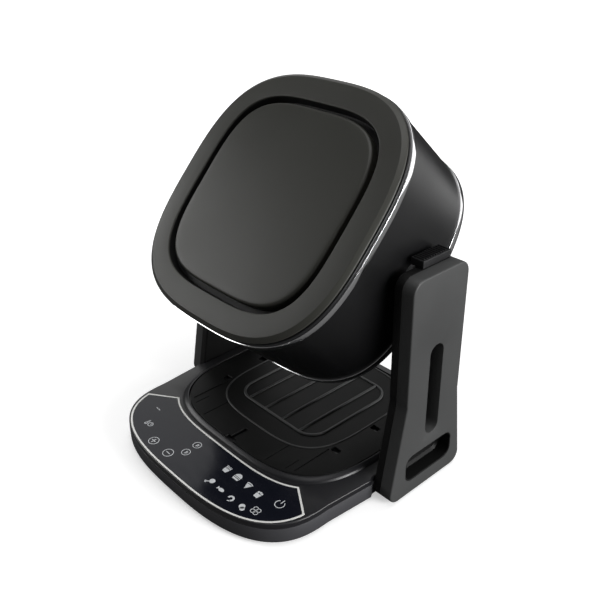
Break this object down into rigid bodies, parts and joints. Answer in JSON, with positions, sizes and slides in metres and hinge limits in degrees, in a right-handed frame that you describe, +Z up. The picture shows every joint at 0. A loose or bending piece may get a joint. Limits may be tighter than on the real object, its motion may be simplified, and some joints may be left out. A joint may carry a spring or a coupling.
{
  "type": "air fryer",
  "caption": "Flip-pod air fryer: a rounded square cooking pod with a hinged lid turns between two pillars over a flat base with a touch panel and a ribbed tray.",
  "frame": {"origin": "on the table under the feet, at the centre of the footprint", "axes": "+Z up, -Y towards the user (the control panel side), +X to the user's right when facing the object"},
  "size_m": [0.33, 0.3173, 0.3762],
  "materials": {
    "grey_plastic": "fine spark texture, dark warm grey",
    "gloss_black": "semi-gloss moulded black",
    "satin_black": "satin moulded black",
    "lid_plastic": "matte olive-black, very fine texture",
    "pod_paint": "satin black paint",
    "panel_glass": "polished black control panel, printed from behind",
    "silver_trim": "bright narrow trim",
    "chrome_trim": "polished",
    "steel": "plain steel",
    "zinc_steel": "zinc-plated sheet",
    "bright_steel": "aluminised steel sheet",
    "bronze": "sintered bronze",
    "copper": "spring copper",
    "heater_sheath": "dark oxidised sheath",
    "circuit_board": "green solder mask",
    "white_plastic": "moulded white",
    "nonstick": "speckled non-stick coating",
    "insulation": "pressed glass fibre",
    "silicone": "grey silicone",
    "rubber": "moulded rubber"
  },
  "bodies": {
    "base": {"base_pan": "grey_plastic", "base_top": "gloss_black", "rubber_feet": "rubber", "base_screws": "steel", "cross_beam": "zinc_steel", "tray_plate": "satin_black", "control_glass": "panel_glass", "glass_trim": "silver_trim", "control_board": "circuit_board", "touch_springs": "copper", "display_module": "white_plastic", "buzzer": "satin_black", "power_board": "circuit_board", "cord_gland": "rubber", "right_outer_cover": "grey_plastic", "right_inner_cover": "satin_black", "right_slot_back": "satin_black", "right_grip_liner": "satin_black", "right_upright": "zinc_steel", "right_bush": "bronze", "left_outer_cover": "grey_plastic", "left_inner_cover": "satin_black", "left_slot_back": "satin_black", "left_grip_liner": "satin_black", "left_upright": "zinc_steel", "left_bush": "bronze", "upright_screws": "steel", "flip_motor": "steel", "motor_standoffs": "steel"},
    "pinion": {"motor_pinion": "bronze"},
    "slider": {"lock_slider": "satin_black"},
    "pod": {"pod_shell": "pod_paint", "pod_collar": "satin_black", "front_chrome_ring": "chrome_trim", "rear_chrome_ring": "chrome_trim", "rear_cap": "satin_black", "inner_liner": "bright_steel", "fan_housing": "bright_steel", "fan_guard": "bright_steel", "heater_coil": "heater_sheath", "fan_motor": "steel", "thermostat": "white_plastic", "right_trunnion": "steel", "left_trunnion": "steel", "side_plates": "zinc_steel", "drive_gear": "bronze", "pod_hinge_leaf": "steel", "hinge_pin": "steel", "pot_rests": "bright_steel", "cooking_pot": "nonstick", "crisper_plate": "nonstick"},
    "fan": {"convection_fan": "bright_steel", "cooling_fan": "satin_black", "fan_shaft": "steel"},
    "lid": {"lid_ring": "lid_plastic", "lid_panel": "lid_plastic", "lid_insulation": "insulation", "lid_liner": "bright_steel", "lid_seal": "silicone", "lid_hinge": "steel"}
  },
  "joints": [
    {"name": "pod_tilt", "type": "hinge", "parent": "base", "child": "pod", "pos_m": [0, 0.042, 0.2225], "axis": [-1, 0, 0], "range_deg": [-90, 47]},
    {"name": "pinion_spin", "type": "hinge", "parent": "base", "child": "pinion", "pos_m": [0.15, 0.042, 0.2008], "axis": [-1, 0, 0], "range_deg": [-94, 180]},
    {"name": "lid_open", "type": "hinge", "parent": "pod", "child": "lid", "pos_m": [0, 0.07594, 0.36887], "axis": [-1, 0, 0], "range_deg": [0, 100]},
    {"name": "fan_spin", "type": "hinge", "parent": "pod", "child": "fan", "pos_m": [0, 0.042, 0.2225], "axis": [0, -0.7314, 0.682], "continuous": true},
    {"name": "lock_slide", "type": "slide", "parent": "base", "child": "slider", "axis": [0, 1, 0], "range_m": [0, 0.006]}
  ],
  "couplings": [
    {"joint": "pinion_spin", "follows": "pod_tilt", "ratio": -2}
  ]
}
